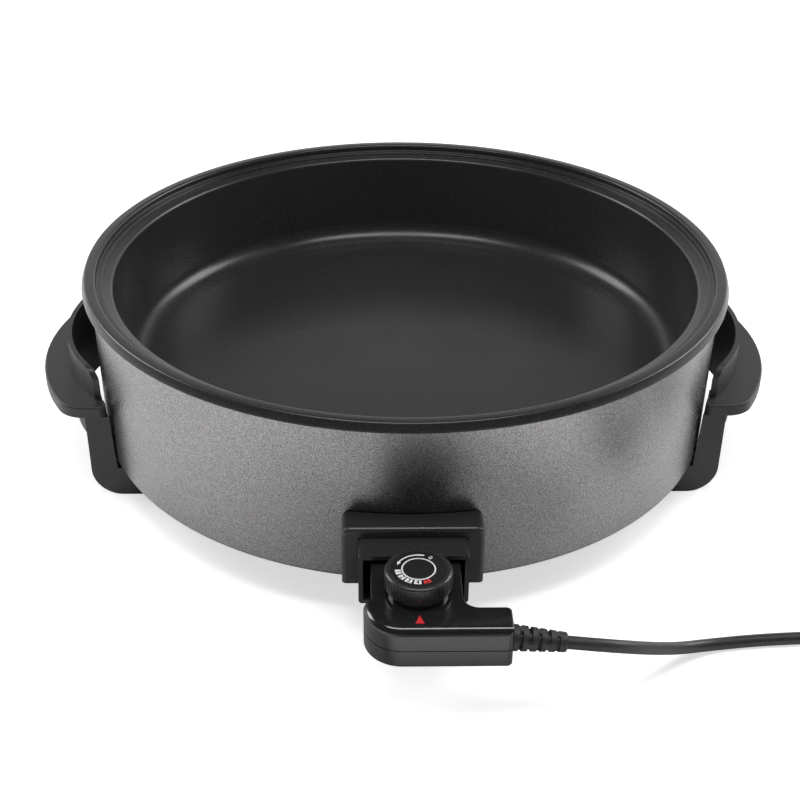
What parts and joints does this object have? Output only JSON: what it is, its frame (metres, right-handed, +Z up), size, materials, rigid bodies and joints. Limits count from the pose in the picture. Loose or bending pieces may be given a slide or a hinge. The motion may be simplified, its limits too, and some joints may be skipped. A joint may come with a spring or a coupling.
{
  "type": "electric skillet",
  "caption": "Round shallow electric pan with a stepped rim, footed side handles with hand guards, and a plug-in dial thermostat on a coiled mains lead.",
  "frame": {"origin": "on the table plane under the pan's axis", "axes": "+Z up along the pan's axis, -Y towards the thermostat socket, +X towards the handle on the lead's side"},
  "size_m": [0.572, 0.4804, 0.129],
  "materials": {
    "nonstick": "black non-stick coat on cast aluminium, satin",
    "hammertone": "grey hammered enamel with fine dark speckle",
    "base_steel": "plain zinc-plated sheet",
    "element_sheath": "heat-darkened tube",
    "gloss_moulding": "black, glossy",
    "satin_moulding": "black, satin",
    "matte_moulding": "black, fine matt texture",
    "screw_steel": "zinc plated",
    "ceramic": "off-white steatite",
    "plated_pin": "bright nickel",
    "spring_brass": "plain",
    "lens_red": "clear red",
    "lamp_glass": "clear",
    "relief_rubber": "black, soft satin",
    "cord_sheath": "black, satin",
    "dial_print": "dark grey face with a white arc arrow, numbered blocks and a red block"
  },
  "bodies": {
    "pan": {"pan_bowl": "nonstick", "outer_casing": "hammertone", "base_plate": "base_steel", "heating_element": "element_sheath", "socket_frame": "satin_moulding", "socket_screws": "screw_steel", "inlet_tunnel": "satin_moulding", "terminal_plate": "ceramic", "terminal_bushes": "ceramic", "terminal_pins": "plated_pin", "earth_springs": "spring_brass", "handle_right": "matte_moulding", "handle_left": "matte_moulding", "handle_screws": "screw_steel"},
    "controller": {"controller_top_shell": "gloss_moulding", "controller_base_shell": "gloss_moulding", "shell_screws": "screw_steel", "contact_carrier": "ceramic", "contact_sleeves": "spring_brass", "probe_rod": "plated_pin", "thermostat_frame": "base_steel", "contact_stack": "ceramic", "fixed_contact": "spring_brass", "bimetal_blade": "spring_brass", "pilot_lens": "lens_red", "pilot_lamp": "lamp_glass", "cord_clamp": "matte_moulding", "strain_relief": "relief_rubber", "power_cord": "cord_sheath", "cord_tail": "cord_sheath", "cord_coil": "cord_sheath", "coil_tie": "matte_moulding", "plug_body": "relief_rubber", "plug_pins": "plated_pin", "plug_earth_clips": "spring_brass"},
    "dial": {"dial_knob": "gloss_moulding", "dial_disc": "dial_print", "dial_spindle": "spring_brass"},
    "plunger": {"adjusting_plunger": "screw_steel"}
  },
  "joints": [
    {"name": "controller_unplug", "type": "slide", "parent": "pan", "child": "controller", "axis": [0, -1, 0], "range_m": [0, 0.105]},
    {"name": "dial_turn", "type": "hinge", "parent": "controller", "child": "dial", "pos_m": [0.0015, -0.247, 0.06], "axis": [0, 0, 1], "range_deg": [-22, 213]},
    {"name": "plunger_feed", "type": "slide", "parent": "controller", "child": "plunger", "axis": [0, 0, 1], "range_m": [-0.00014, 0.00131]}
  ],
  "couplings": [
    {"joint": "plunger_feed", "follows": "dial_turn", "m_per_rad": 0.00035}
  ]
}
